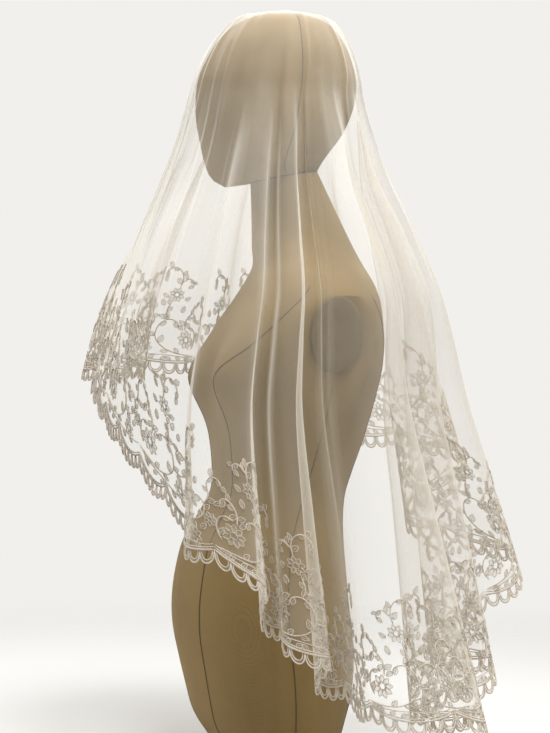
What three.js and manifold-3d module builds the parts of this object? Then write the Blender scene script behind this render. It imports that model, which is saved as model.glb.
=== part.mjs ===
// Oval bridal veil of tulle with a scalloped lace edge, laid over a limbless dress form.
// Millimetres, +Z up. The form faces -Y and the origin is the middle of its flat underside.
import * as THREE from "three";
import { mergeVertices } from "three/addons/utils/BufferGeometryUtils.js";
import Module from "manifold-3d";

const wasm = await Module();
wasm.setup();

// Driving sizes of the veil.
const CUT_HALF_LENGTH = 742; // half the oval cut along its longest line
const CUT_HALF_WIDTH = 640;
const CROWN_OFFSET = 208; // from the middle of the cut to the point that lies on the crown
const LONGEST_AT = 119; // heading of the longest side, degrees from the front towards the form's left
const TULLE_THICKNESS = 1.2;
const LACE_THICKNESS = 1.2;
const SEAM_GAP = 0.3;
const LACE_GAP = 0.5; // between the tulle and the lace that lies on it
const HEAD_CLEARANCE = 2.5;
const FOLDS_BEGIN = 50; // cloth length from the crown where the folds start
const FOLDS_FULL = 330; // cloth length where they have their whole depth
const CREST_LIFT = 0.18; // a crest swings up by this share of how far it swings out
const CREST_BREADTH = 0.45; // how much broader a crest is than a trough
const CLOTH_COLUMNS = 108;

// Driving sizes of the lace edge, as heights above the lowest point of a scallop.
const COLUMNS_PER_SCALLOP = 3;
const LOOPS_PER_COLUMN = 2;
const LOOPS_PER_SCALLOP = COLUMNS_PER_SCALLOP * LOOPS_PER_COLUMN;
const SCALLOP_DEPTH = 12;
const LOOP_BASE = 16;
const TULLE_EDGE = 32;
const LACE_TOP = 105;
const SPRAY_TOP = 170;

// Inside line of the veil's hollow, section by section below the crown. Corner is how much further out
// an oval section goes between its front, sides and back, as a share.
const VEIL_SECTIONS = [
  { drop: 0, front: 14, back: 16, side: 0, corner: 0 },
  { drop: 13, front: -47, back: 71, side: 45, corner: 0 },
  { drop: 36, front: -73, back: 90, side: 61, corner: 0 },
  { drop: 61, front: -89, back: 101, side: 71, corner: 0 },
  { drop: 86, front: -100, back: 107, side: 76, corner: 0 },
  { drop: 111, front: -107, back: 106, side: 80, corner: 0 },
  { drop: 165, front: -121, back: 107, side: 100, corner: 0.02 },
  { drop: 220, front: -141, back: 110, side: 125, corner: 0.04 },
  { drop: 290, front: -169, back: 123, side: 157, corner: 0.11 },
  { drop: 361, front: -193, back: 136, side: 184, corner: 0.145 },
  { drop: 418, front: -211, back: 143, side: 189, corner: 0.12 },
  { drop: 500, front: -228, back: 151, side: 190, corner: 0.07 },
  { drop: 620, front: -232, back: 168, side: 195, corner: 0.05 },
  { drop: 740, front: -232, back: 184, side: 200, corner: 0.03 },
  { drop: 900, front: -232, back: 200, side: 206, corner: 0.02 },
];

// The folds in turn, from the one over the face towards the form's left. Span is the heading that a
// fold takes up in degrees, fullness the share of its cloth that goes into it, and swing how far its
// crest leans towards the next fold, in degrees.
const FIRST_TROUGH = -32;
const FOLDS = [
  { name: "front_panel", span: 86, fullness: 0.44, swing: 0 },
  { name: "chest", span: 26, fullness: 0.86, swing: 2 },
  { name: "arm", span: 14, fullness: 0.97, swing: 0 },
  { name: "arm_back", span: 36, fullness: 0.8, swing: -5 },
  { name: "blade", span: 19, fullness: 0.84, swing: -2 },
  { name: "back_left", span: 30, fullness: 0.8, swing: -2 },
  { name: "back_middle", span: 30, fullness: 0.88, swing: -3 },
  { name: "back_right", span: 30, fullness: 0.9, swing: 3 },
  { name: "far_blade", span: 30, fullness: 0.9, swing: -2 },
  { name: "far_arm", span: 30, fullness: 0.88, swing: 2 },
  { name: "far_chest", span: 29, fullness: 0.62, swing: -2 },
];

// Sections of the form. Tilt is how much a section rises for each millimetre towards the back.
const HEAD_TOP = 926;
const HEAD_TOP_Y = 15;
const HEAD_SECTIONS = [
  { z: 922, front: -16, back: 43, side: 22, tilt: 0 },
  { z: 912, front: -44, back: 68, side: 42, tilt: 0 },
  { z: 890, front: -70, back: 87, side: 58, tilt: 0 },
  { z: 865, front: -86, back: 98, side: 68, tilt: 0 },
  { z: 840, front: -97, back: 104, side: 73, tilt: 0 },
  { z: 815, front: -100.5, back: 102, side: 74, tilt: 0 },
  { z: 790, front: -100, back: 95, side: 73, tilt: 0.02 },
  { z: 765, front: -95, back: 83, side: 69, tilt: 0.05 },
  { z: 742, front: -89, back: 68, side: 62, tilt: 0.1 },
  { z: 726, front: -80, back: 59, side: 55, tilt: 0.16 },
  { z: 717, front: -64, back: 54, side: 47, tilt: 0.19 },
];
const HEAD_SEAM = HEAD_SECTIONS.at(-1);
const NECK_FRONT = -30;
const NECK_BACK = 52;
const NECK_TOP =
  HEAD_SEAM.z + HEAD_SEAM.tilt * ((NECK_FRONT + NECK_BACK) / 2 - (HEAD_SEAM.front + HEAD_SEAM.back) / 2);
const BODY_SECTIONS = [
  { z: NECK_TOP - SEAM_GAP, front: NECK_FRONT, back: NECK_BACK, side: 45, tilt: HEAD_SEAM.tilt },
  { z: 671, front: -29, back: 78, side: 47, tilt: 0.1 },
  { z: 634, front: -28, back: 97, side: 60, tilt: 0.05 },
  { z: 609, front: -25, back: 109, side: 90, tilt: 0 },
  { z: 588, front: -32, back: 114, side: 140, tilt: 0 },
  { z: 565, front: -44, back: 118, side: 175, tilt: 0 },
  { z: 540, front: -60, back: 121, side: 190, tilt: 0 },
  { z: 509, front: -71, back: 123, side: 192, tilt: 0 },
  { z: 478, front: -74, back: 122, side: 182, tilt: 0 },
  { z: 452, front: -75, back: 118, side: 168, tilt: 0 },
  { z: 427, front: -76, back: 113, side: 155, tilt: 0 },
  { z: 390, front: -76, back: 103, side: 139, tilt: 0 },
  { z: 352, front: -75, back: 90, side: 126, tilt: 0 },
  { z: 325, front: -78, back: 82, side: 121, tilt: 0 },
  { z: 296, front: -94, back: 79, side: 128, tilt: 0 },
  { z: 265, front: -112, back: 79, side: 142, tilt: 0 },
  { z: 232, front: -121, back: 81, side: 153, tilt: 0 },
  { z: 195, front: -126, back: 84, side: 160, tilt: 0 },
  { z: 160, front: -125, back: 88, side: 163, tilt: 0 },
  { z: 120, front: -117, back: 90, side: 162, tilt: 0 },
  { z: 80, front: -107, back: 86, side: 157, tilt: 0 },
  { z: 48, front: -97, back: 77, side: 152, tilt: 0 },
  { z: 22, front: -80, back: 69, side: 147, tilt: 0 },
  { z: 0, front: -66, back: 66, side: 143, tilt: 0 },
];
const FORM_COLUMNS = 36;
const BUST = { x: 68, z: 468, reach: 28, spread_x: 44, spread_z: 46 };
const ARM_CUT = { x: 165, z: 520, lean: 0.14 }; // flat cut where an arm would join; lean in radians
const ARM_PLATE = { y: 27, half_depth: 32, half_height: 46, thickness: 5, sides: 28 };

const COLOURS = {
  tulle: { color: 0xefe9e0, roughness: 0.7, metalness: 0 },
  lace: { color: 0xe3dacb, roughness: 0.8, metalness: 0 },
  cover: { color: 0xc9bc9c, roughness: 0.9, metalness: 0 },
  plate: { color: 0xa89a7c, roughness: 0.9, metalness: 0 },
};

const radians = THREE.MathUtils.degToRad;
const lerp = THREE.MathUtils.lerp;

// Plan direction of a heading: 0 is the front, a quarter turn is the form's left.
function headingOf(angle) {
  return new THREE.Vector2(Math.sin(angle), -Math.cos(angle));
}

// Smooth value of a table's column at a place along its key column.
function fromTable(rows, key, column, at) {
  const last = rows.length - 2;
  let i = 0;
  while (i < last && rows[i + 1][key] < at) i++;
  const before = rows[Math.max(i - 1, 0)];
  const [a, b] = [rows[i], rows[i + 1]];
  const after = rows[Math.min(i + 2, last + 1)];
  const step = b[key] - a[key];
  const slopeA = (b[column] - before[column]) / (b[key] - before[key]);
  const slopeB = (after[column] - a[column]) / (after[key] - a[key]);
  const s = (at - a[key]) / step;
  if (s > 1) return b[column] + (at - b[key]) * slopeB;
  const s2 = s * s;
  const s3 = s2 * s;
  return (
    (2 * s3 - 3 * s2 + 1) * a[column] +
    (s3 - 2 * s2 + s) * step * slopeA +
    (3 * s2 - 2 * s3) * b[column] +
    (s3 - s2) * step * slopeB
  );
}

// Each veil section also gets the cloth length from the crown down to it.
function measureVeilSections() {
  let length = 0;
  let above = VEIL_SECTIONS[0];
  const meanRadius = (row) => ((row.back - row.front) / 2 + row.side) / 2;
  return VEIL_SECTIONS.map((row) => {
    length += Math.hypot(row.drop - above.drop, meanRadius(row) - meanRadius(above));
    above = row;
    return { ...row, length };
  });
}
const veilRows = measureVeilSections();

// Each fold also gets the headings of the troughs on its two sides.
function placeFolds() {
  let from = FIRST_TROUGH;
  return FOLDS.map((fold) => {
    const placed = { ...fold, from, to: from + fold.span };
    from = placed.to;
    return placed;
  });
}
const folds = placeFolds();

// Where a strip of cloth goes when it is folded: its direction swings to and fro by up to bend, so its
// length stays true. Returns the share of the span crossed, the rise in strip lengths, and the crestness.
function foldStrip(share, bend) {
  const steps = 48;
  let across = 0;
  let rise = 0;
  let crossed = 0;
  let risen = 0;
  let crest = 0;
  for (let i = 0; i < steps; i++) {
    const place = ((i + 0.5) / steps) * 2 * Math.PI;
    const turn = bend * Math.sin(place) * (1 + CREST_BREADTH * Math.cos(place));
    const part = THREE.MathUtils.clamp(share * steps - i, 0, 1);
    crossed += Math.cos(turn) * part;
    risen += Math.sin(turn) * part;
    across += Math.cos(turn);
    rise += Math.sin(turn);
    crest = Math.max(crest, rise);
  }
  return { across: crossed / across, rise: risen / steps, crestness: crest > 0 ? risen / crest : 0 };
}

// The place on the draped veil of the cloth at a length and a heading from the crown.
function drape(heading, length) {
  const degrees = THREE.MathUtils.radToDeg(heading);
  const turn = THREE.MathUtils.euclideanModulo(degrees - FIRST_TROUGH, 360) + FIRST_TROUGH;
  const fold = folds.find((f) => turn < f.to) ?? folds.at(-1);
  const share = (turn - fold.from) / fold.span;
  const [drop, front, back, side, corner] = ["drop", "front", "back", "side", "corner"].map((column) =>
    fromTable(veilRows, "length", column, length),
  );
  const halfDepth = (back - front) / 2;

  const span = radians(fold.span);
  const strip = fold.fullness * length * span;
  const gathered = 0.5 * (halfDepth + side) + 0.14 * length; // mean radius of the folded cloth
  const tightness = Math.min(1, (gathered * span) / Math.max(strip, 1));
  const ease = THREE.MathUtils.smoothstep(length, FOLDS_BEGIN, FOLDS_FULL);
  const bend = ease * 2 * Math.sqrt(2 * (1 - Math.sqrt(tightness)));
  const bent = foldStrip(share, bend);

  const rise = bent.rise * strip;
  const angle = radians(fold.from + fold.span * bent.across + fold.swing * bent.crestness * ease);
  const out = headingOf(angle);
  const widened = 1 + corner * Math.sin(2 * angle) ** 2;
  return new THREE.Vector3(
    (side * widened + rise) * out.x,
    (front + back) / 2 + (halfDepth * widened + rise) * out.y,
    HEAD_TOP + HEAD_CLEARANCE - drop + CREST_LIFT * rise,
  );
}

// Length along the oval cut's edge from its longest side up to each of many small turns.
const EDGE_STEPS = 720;
function measureEdge() {
  const runs = [0];
  for (let i = 0; i < EDGE_STEPS; i++) {
    const turn = ((i + 0.5) / EDGE_STEPS) * 2 * Math.PI;
    const speed = Math.hypot(CUT_HALF_LENGTH * Math.sin(turn), CUT_HALF_WIDTH * Math.cos(turn));
    runs.push(runs[i] + (speed * 2 * Math.PI) / EDGE_STEPS);
  }
  return runs;
}
const edgeRuns = measureEdge();

// The turn reached after a share of the whole edge.
function turnAfter(share) {
  const run = share * edgeRuns.at(-1);
  const i = Math.max(1, edgeRuns.findIndex((r) => r >= run));
  const part = (run - edgeRuns[i - 1]) / (edgeRuns[i] - edgeRuns[i - 1]);
  return ((i - 1 + part) / EDGE_STEPS) * 2 * Math.PI;
}

// The cloth at a place round the cut's edge and a height above that edge, both on the flat cut.
const longWay = headingOf(radians(LONGEST_AT));
const crossWay = headingOf(radians(LONGEST_AT + 90));
function edgeOf(column) {
  const share = THREE.MathUtils.euclideanModulo(column / CLOTH_COLUMNS - LONGEST_AT / 360, 1);
  const turn = turnAfter(share);
  const edge = longWay.clone().multiplyScalar(CROWN_OFFSET + CUT_HALF_LENGTH * Math.cos(turn));
  edge.addScaledVector(crossWay, CUT_HALF_WIDTH * Math.sin(turn));
  return { heading: Math.atan2(edge.x, -edge.y), length: edge.length() };
}
function clothAt(column, height) {
  const edge = edgeOf(column);
  return drape(edge.heading, edge.length - height);
}

// Rows of the tulle from the crown to its edge, as cloth lengths for one column.
const CROWN_LENGTHS = [30, 66, 108, 154];
const FALL_SHARES = [0.22, 0.48, 0.75];
const LACE_HEIGHTS = [SPRAY_TOP, LACE_TOP, TULLE_EDGE];
function rowLengths(edgeLength) {
  const fallEnd = edgeLength - SPRAY_TOP;
  const falls = FALL_SHARES.map((share) => lerp(CROWN_LENGTHS.at(-1), fallEnd, share));
  return [...CROWN_LENGTHS, ...falls, ...LACE_HEIGHTS.map((height) => edgeLength - height)];
}
const TULLE_ROWS = CROWN_LENGTHS.length + FALL_SHARES.length + LACE_HEIGHTS.length;
const EDGE_ROW = TULLE_ROWS - 1;
const LACE_ROW = TULLE_ROWS - 2;
const SPRAY_ROW = TULLE_ROWS - 3;

const wrap = (column) => THREE.MathUtils.euclideanModulo(column, CLOTH_COLUMNS);

const tullePoints = Array.from({ length: CLOTH_COLUMNS }, (_, column) => {
  const edge = edgeOf(column);
  return rowLengths(edge.length).map((length) => drape(edge.heading, length));
});
const tulleNormals = tullePoints.map((points, column) =>
  points.map((_, row) => {
    const around = tullePoints[wrap(column + 1)][row].clone().sub(tullePoints[wrap(column - 1)][row]);
    const below = points[Math.min(row + 1, EDGE_ROW)].clone().sub(points[Math.max(row - 1, 0)]);
    return around.cross(below).negate().normalize();
  }),
);

// A closed wall from a sheet: points with normals, triangles that face out, and the two faces' offsets.
function wallOf(points, normals, triangles, innerOffset, outerOffset) {
  const position = [];
  for (const offset of [innerOffset, outerOffset])
    points.forEach((p, i) => position.push(...p.clone().addScaledVector(normals[i], offset)));
  const outside = points.length;
  const index = [];
  const openEdges = new Map();
  for (const [a, b, c] of triangles) {
    index.push(a + outside, b + outside, c + outside, a, c, b);
    for (const [from, to] of [[a, b], [b, c], [c, a]]) {
      if (!openEdges.delete(`${to} ${from}`)) openEdges.set(`${from} ${to}`, [from, to]);
    }
  }
  for (const [from, to] of openEdges.values()) {
    index.push(from, to, to + outside, from, to + outside, from + outside);
  }
  const geometry = new THREE.BufferGeometry();
  geometry.setAttribute("position", new THREE.Float32BufferAttribute(position, 3));
  geometry.setIndex(index);
  return geometry;
}

// The tulle: one piece from the crown to its edge under the lace.
function tulleGeometry() {
  const crown = new THREE.Vector3(0, HEAD_TOP_Y, HEAD_TOP + HEAD_CLEARANCE);
  const points = [crown, ...tullePoints.flat()];
  const normals = [new THREE.Vector3(0, 0, 1), ...tulleNormals.flat()];
  const at = (column, row) => 1 + wrap(column) * TULLE_ROWS + row;
  const triangles = [];
  for (let column = 0; column < CLOTH_COLUMNS; column++) {
    triangles.push([0, at(column, 0), at(column + 1, 0)]);
    for (let row = 0; row < EDGE_ROW; row++) {
      const [a, b] = [at(column, row), at(column + 1, row)];
      const [d, c] = [at(column, row + 1), at(column + 1, row + 1)];
      triangles.push([a, c, b], [a, d, c]);
    }
  }
  return wallOf(points, normals, triangles, 0, TULLE_THICKNESS);
}

// How far the scalloped hem lies above the lowest point of its scallop.
function hemHeight(loop) {
  const share = THREE.MathUtils.euclideanModulo(loop, LOOPS_PER_SCALLOP) / LOOPS_PER_SCALLOP;
  return SCALLOP_DEPTH * (2 * share - 1) ** 2;
}

// One open loop of the hem: its rim and its hole as shares of a loop across and heights above the hem.
const LOOP_RIM = [
  { name: "foot_left", across: 0, height: 5 },
  { name: "low_left", across: 0.28, height: 0.6 },
  { name: "low_right", across: 0.72, height: 0.6 },
  { name: "foot_right", across: 1, height: 5 },
];
const LOOP_HOLE = [
  { name: "top_left", across: 0.15, height: 13 },
  { name: "top_right", across: 0.85, height: 13 },
  { name: "low_right", across: 0.7, height: 3.4 },
  { name: "low_left", across: 0.3, height: 3.4 },
];

// A stretch of the lace edge, made from the tulle's points moved out, with its hem loops cut through.
function laceGeometry(firstColumn, lastColumn) {
  const points = [];
  const normals = [];
  const triangles = [];
  const known = new Map();
  const endInset = (SEAM_GAP * CLOTH_COLUMNS) / edgeRuns.at(-1);

  function add(key, makePoint) {
    if (!known.has(key)) {
      const { point, normal } = makePoint();
      known.set(key, points.length);
      points.push(point);
      normals.push(normal);
    }
    return known.get(key);
  }
  const clear = (column) =>
    THREE.MathUtils.clamp(column, firstColumn + endInset, lastColumn - endInset);

  // A point on the tulle's own facets, a share of the way from one of its points to another.
  function between(columnA, rowA, columnB, rowB, share) {
    const [a, b] = [wrap(columnA), wrap(columnB)];
    return {
      point: tullePoints[a][rowA].clone().lerp(tullePoints[b][rowB], share),
      normal: tulleNormals[a][rowA].clone().lerp(tulleNormals[b][rowB], share).normalize(),
    };
  }
  function onRow(column, row) {
    const whole = Math.min(Math.floor(clear(column)), lastColumn - 1);
    return add(`row ${row} ${column}`, () => between(whole, row, whole + 1, row, clear(column) - whole));
  }
  const onDiagonal = (column) =>
    add(`diagonal ${column}`, () => between(column, LACE_ROW, column + 1, EDGE_ROW, 0.5));

  // A point of the free hem below the tulle's edge.
  function onHem(loop, height) {
    return add(`hem ${loop.toFixed(3)} ${height}`, () => {
      const column = clear(loop / LOOPS_PER_COLUMN);
      const lifted = height + hemHeight(loop);
      const step = 0.05;
      const around = clothAt(column + step, lifted).sub(clothAt(column - step, lifted));
      const below = clothAt(column, lifted - 1).sub(clothAt(column, lifted + 1));
      return { point: clothAt(column, lifted), normal: around.cross(below).negate().normalize() };
    });
  }

  for (let column = firstColumn; column < lastColumn; column++) {
    const middle = column + 1 / LOOPS_PER_COLUMN;
    const top = [column, middle, column + 1].map((at) => onRow(at, LACE_ROW));
    const edge = [column, middle, column + 1].map((at) => onRow(at, EDGE_ROW));
    const centre = onDiagonal(column);
    triangles.push([top[0], centre, top[1]], [top[1], centre, top[2]], [top[2], centre, edge[2]]);
    triangles.push([top[0], edge[0], centre], [edge[0], edge[1], centre], [edge[1], edge[2], centre]);
    if (column % COLUMNS_PER_SCALLOP === 1) {
      const tip = onRow(column, SPRAY_ROW);
      triangles.push([tip, top[0], top[1]], [tip, top[1], top[2]]);
    }
    for (let half = 0; half < LOOPS_PER_COLUMN; half++) {
      const loop = column * LOOPS_PER_COLUMN + half;
      const base = [onHem(loop, LOOP_BASE), onHem(loop + 1, LOOP_BASE)];
      const rim = LOOP_RIM.map((p) => onHem(loop + p.across, p.height));
      const hole = LOOP_HOLE.map((p) => onHem(loop + p.across, p.height));
      triangles.push([edge[half], base[0], edge[half + 1]], [edge[half + 1], base[0], base[1]]);
      triangles.push([base[0], hole[0], base[1]], [base[1], hole[0], hole[1]]);
      triangles.push([base[1], hole[1], rim[3]], [hole[1], hole[2], rim[3]], [hole[2], rim[2], rim[3]]);
      triangles.push([hole[2], hole[3], rim[2]], [hole[3], rim[1], rim[2]], [hole[3], rim[0], rim[1]]);
      triangles.push([hole[0], rim[0], hole[3]], [base[0], rim[0], hole[0]]);
    }
  }
  const inner = TULLE_THICKNESS + LACE_GAP;
  return wallOf(points, normals, triangles, inner, inner + LACE_THICKNESS);
}

// Solid through oval sections, closed by flat ends, or by a pole where one is given.
function loftGeometry(rings, pole) {
  const columns = rings[0].length;
  const position = rings.flat().flatMap((p) => [p.x, p.y, p.z]);
  const index = [];
  const at = (ring, column) => ring * columns + (column % columns);
  const ends = [pole ?? middleOf(rings[0]), middleOf(rings.at(-1))];
  const [topEnd, bottomEnd] = ends.map((p) => position.push(p.x, p.y, p.z) / 3 - 1);
  for (let column = 0; column < columns; column++) {
    index.push(topEnd, at(0, column), at(0, column + 1));
    for (let ring = 0; ring + 1 < rings.length; ring++) {
      const [a, b] = [at(ring, column), at(ring, column + 1)];
      const [d, c] = [at(ring + 1, column), at(ring + 1, column + 1)];
      index.push(a, d, b, b, d, c);
    }
    index.push(bottomEnd, at(rings.length - 1, column + 1), at(rings.length - 1, column));
  }
  const geometry = new THREE.BufferGeometry();
  geometry.setAttribute("position", new THREE.Float32BufferAttribute(position, 3));
  geometry.setIndex(index);
  return geometry;
}
function middleOf(ring) {
  return ring.reduce((sum, p) => sum.add(p), new THREE.Vector3()).divideScalar(ring.length);
}

function formRing(section, shape = (p) => p) {
  const middle = (section.front + section.back) / 2;
  return Array.from({ length: FORM_COLUMNS }, (_, column) => {
    const out = headingOf((column / FORM_COLUMNS) * 2 * Math.PI);
    const y = middle + ((section.back - section.front) / 2) * out.y;
    const z = section.z + section.tilt * (y - middle);
    return shape(new THREE.Vector3(section.side * out.x, y, z), middle);
  });
}

// Swells the chest forwards.
function withBust(p, middle) {
  const awayX = (Math.abs(p.x) - BUST.x) / BUST.spread_x;
  const awayZ = (p.z - BUST.z) / BUST.spread_z;
  const forwards = THREE.MathUtils.clamp((middle - p.y) / BUST.spread_x, 0, 1);
  p.y -= BUST.reach * forwards * Math.exp(-awayX * awayX - awayZ * awayZ);
  return p;
}

function headGeometry() {
  const pole = new THREE.Vector3(0, HEAD_TOP_Y, HEAD_TOP);
  return loftGeometry(HEAD_SECTIONS.map((section) => formRing(section)), pole);
}

function solidOf(geometry) {
  const bare = geometry.clone();
  bare.deleteAttribute("normal");
  bare.deleteAttribute("uv");
  const merged = mergeVertices(bare);
  return new wasm.Manifold(
    new wasm.Mesh({
      numProp: 3,
      vertProperties: merged.getAttribute("position").array,
      triVerts: new Uint32Array(merged.index.array),
    }),
  );
}
function geometryOf(solid) {
  const mesh = solid.getMesh();
  const geometry = new THREE.BufferGeometry();
  geometry.setAttribute("position", new THREE.BufferAttribute(mesh.vertProperties, 3));
  geometry.setIndex(new THREE.BufferAttribute(mesh.triVerts, 1));
  return geometry;
}

// Frame of one arm's flat cut: its own +Z points out of the body and a little down.
function armFrame(side, offset) {
  const frame = new THREE.Group();
  frame.rotation.y = side * (Math.PI / 2 + ARM_CUT.lean);
  frame.position.set(side * ARM_CUT.x, ARM_PLATE.y, ARM_CUT.z);
  frame.translateZ(offset);
  frame.updateMatrix();
  return frame;
}

function bodyGeometry() {
  const cutter = new THREE.BoxGeometry(400, 400, 100).translate(0, 0, 50);
  const whole = solidOf(loftGeometry(BODY_SECTIONS.map((section) => formRing(section, withBust))));
  const cutters = [-1, 1].map((side) => solidOf(cutter.clone().applyMatrix4(armFrame(side, 0).matrix)));
  return geometryOf(cutters.reduce((body, arm) => body.subtract(arm), whole));
}

function armPlateGeometry() {
  const outline = new THREE.Shape().absellipse(
    0,
    0,
    ARM_PLATE.half_height,
    ARM_PLATE.half_depth,
    0,
    2 * Math.PI,
  );
  return new THREE.ExtrudeGeometry(outline, {
    depth: ARM_PLATE.thickness,
    bevelEnabled: false,
    curveSegments: ARM_PLATE.sides / 2,
  });
}

function addPiece(parent, name, geometry, colours) {
  const piece = new THREE.Mesh(geometry, new THREE.MeshStandardMaterial(colours));
  piece.name = name;
  parent.add(piece);
}

const veilOnForm = new THREE.Group();

const veil = new THREE.Group();
addPiece(veil, "veil_tulle", tulleGeometry(), COLOURS.tulle);
const LACE_STRETCHES = ["lace_front", "lace_left", "lace_back", "lace_right"];
const STRETCH_COLUMNS = CLOTH_COLUMNS / LACE_STRETCHES.length;
LACE_STRETCHES.forEach((name, i) => {
  const lace = laceGeometry(i * STRETCH_COLUMNS, (i + 1) * STRETCH_COLUMNS);
  addPiece(veil, name, lace, COLOURS.lace);
});
veilOnForm.add(veil);

const form = new THREE.Group();
addPiece(form, "form_head", headGeometry(), COLOURS.cover);
addPiece(form, "form_body", bodyGeometry(), COLOURS.cover);
for (const [name, side] of [["form_arm_plate_left", 1], ["form_arm_plate_right", -1]]) {
  const seat = armFrame(side, SEAM_GAP);
  addPiece(seat, name, armPlateGeometry(), COLOURS.plate);
  form.add(seat);
}
veilOnForm.add(form);

export default veilOnForm;
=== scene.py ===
"""Dresses a packed bridal veil and its dress form: sheer tulle, corded lace edge, cloth-covered form."""

import math

import bpy
import numpy as np
from bpy.props import FloatProperty, FloatVectorProperty, IntProperty, PointerProperty
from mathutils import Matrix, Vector


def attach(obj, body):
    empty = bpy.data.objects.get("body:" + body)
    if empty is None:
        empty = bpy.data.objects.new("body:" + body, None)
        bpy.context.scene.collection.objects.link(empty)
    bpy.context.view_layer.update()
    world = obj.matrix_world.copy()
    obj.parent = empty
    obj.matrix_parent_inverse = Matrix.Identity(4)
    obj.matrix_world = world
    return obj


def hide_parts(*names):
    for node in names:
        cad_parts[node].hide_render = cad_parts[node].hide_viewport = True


bl_info = {
    "name": "Bridal veil on a dress form",
    "version": (1, 0, 0),
    "blender": (4, 5, 0),
    "location": "View3D > Sidebar > Veil",
    "description": "Drapes a tulle veil with a corded lace edge over a limbless dress form",
    "category": "Object",
}

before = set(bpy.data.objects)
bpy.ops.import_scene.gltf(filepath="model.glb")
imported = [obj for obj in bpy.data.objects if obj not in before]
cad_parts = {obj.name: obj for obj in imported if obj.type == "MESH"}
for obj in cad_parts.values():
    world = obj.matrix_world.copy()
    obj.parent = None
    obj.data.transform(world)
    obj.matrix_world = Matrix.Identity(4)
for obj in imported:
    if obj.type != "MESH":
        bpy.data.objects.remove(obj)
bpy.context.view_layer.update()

MM = 0.001
BODY = "root"

# The veil's cut and drape, in millimetres and degrees, as the solids have them.
HEAD_TOP = 926.0
HEAD_TOP_Y = 15.0
HEAD_CLEARANCE = 2.5
FOLDS_BEGIN = 50.0
FOLDS_FULL = 330.0
CLOTH_COLUMNS = 108
COLUMNS_PER_SCALLOP = 3
SCALLOPS = CLOTH_COLUMNS // COLUMNS_PER_SCALLOP
LOOPS_PER_SCALLOP = 6
SCALLOP_DEPTH = 12.0
LOOP_BASE = 16.0

# Inside line of the veil's hollow: drop below the crown, front, back, half width and how much further
# out it goes between them, as a share.
VEIL_SECTIONS = np.array(
    [
        (0, 14, 16, 0, 0),
        (13, -47, 71, 45, 0),
        (36, -73, 90, 61, 0),
        (61, -89, 101, 71, 0),
        (86, -100, 107, 76, 0),
        (111, -107, 106, 80, 0),
        (165, -121, 107, 100, 0.02),
        (220, -141, 110, 125, 0.04),
        (290, -169, 123, 157, 0.11),
        (361, -193, 136, 184, 0.145),
        (418, -211, 143, 189, 0.12),
        (500, -228, 151, 190, 0.07),
        (620, -232, 168, 195, 0.05),
        (740, -232, 184, 200, 0.03),
        (900, -232, 200, 206, 0.02),
    ],
    dtype=float,
)

# The folds in turn from the one over the face towards the form's left: heading span in degrees, share
# of the cloth that goes into the fold, and the lean of its crest in degrees.
FIRST_TROUGH = -32.0
FOLDS = np.array(
    [
        (86, 0.44, 0),
        (26, 0.86, 2),
        (14, 0.97, 0),
        (36, 0.8, -5),
        (19, 0.84, -2),
        (30, 0.8, -2),
        (30, 0.88, -3),
        (30, 0.9, 3),
        (30, 0.9, -2),
        (30, 0.88, 2),
        (29, 0.62, -2),
    ],
    dtype=float,
)
CREST_BREADTH = 0.45
CLOTH_SPREAD = 0.14
FOLD_STEPS = 48
EDGE_STEPS = 720

# Soft creases that run down from the crown: heading on the cut, cloth lengths where one starts and
# ends, half width, height, and how far its heading drifts on the way.
CREASES = (
    (-15, 70, 470, 7.5, 3.2, 2),
    (-4, 120, 360, 6, 1.9, -2),
    (10, 40, 430, 6, 3.4, 4),
    (21, 28, 560, 6, 3.7, -4),
    (33, 90, 420, 7.5, 2.4, 3),
    (42, 35, 600, 8, 2.8, 2),
    (56, 26, 640, 8.5, 2.2, -3),
    (66, 80, 620, 10, 1.7, 2),
    (75, 160, 640, 11, 1.5, -3),
    (84, 45, 700, 8, 2.9, 2),
    (98, 22, 720, 6, 3.8, 4),
    (108, 60, 640, 9, 2.2, 3),
    (119, 100, 700, 9, 2.0, -3),
    (132, 24, 690, 6, 3.7, 2),
    (146, 70, 660, 7.5, 2.7, 3),
    (160, 30, 640, 6, 3.5, -3),
    (178, 55, 620, 7.5, 2.9, 4),
    (193, 28, 600, 6, 3.5, -2),
    (209, 80, 560, 7.5, 2.4, 3),
    (226, 32, 540, 6, 3.7, 2),
    (243, 60, 480, 7.5, 2.9, -3),
    (259, 26, 440, 6, 3.5, 3),
    (276, 75, 420, 7.5, 2.6, -2),
    (291, 30, 400, 6, 3.5, 2),
    (308, 55, 400, 7.5, 2.9, -3),
    (325, 27, 420, 6, 3.5, 3),
)
# Cloth lengths above the hem where the creases have run out and where they are whole.
CREASES_END = 110.0
CREASES_WHOLE = 260.0
NET_OUT = 0.6

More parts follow.
